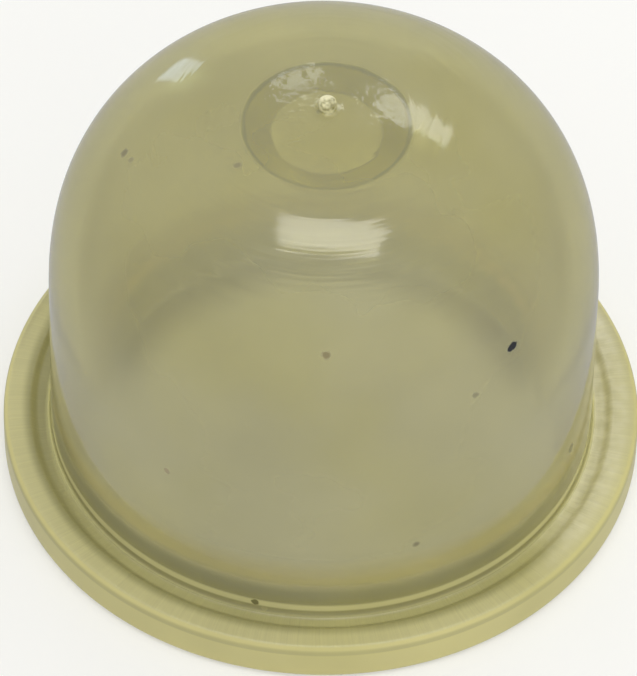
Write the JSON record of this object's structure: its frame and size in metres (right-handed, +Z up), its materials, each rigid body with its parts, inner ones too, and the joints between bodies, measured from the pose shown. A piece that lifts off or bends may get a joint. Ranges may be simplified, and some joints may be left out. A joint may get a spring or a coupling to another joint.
{
  "type": "primer bulb",
  "caption": "Hollow elastomer dome with a clamping flange round its open mouth and a pad under its crown, pressed by a thumb to draw fuel into a small engine's carburettor.",
  "frame": {"origin": "centre of the flange's flat underside, in the plane of the open mouth", "axes": "+Z up along the dome's axis, from the open mouth to the crown; the bulb is round about it"},
  "size_m": [0.0226, 0.0226, 0.017],
  "materials": {
    "urethane": "clouded translucent yellow-green elastomer, smooth and softly glossy, with fine turning marks"
  },
  "bodies": {
    "root": {"primer_bulb": "urethane"}
  },
  "joints": []
}
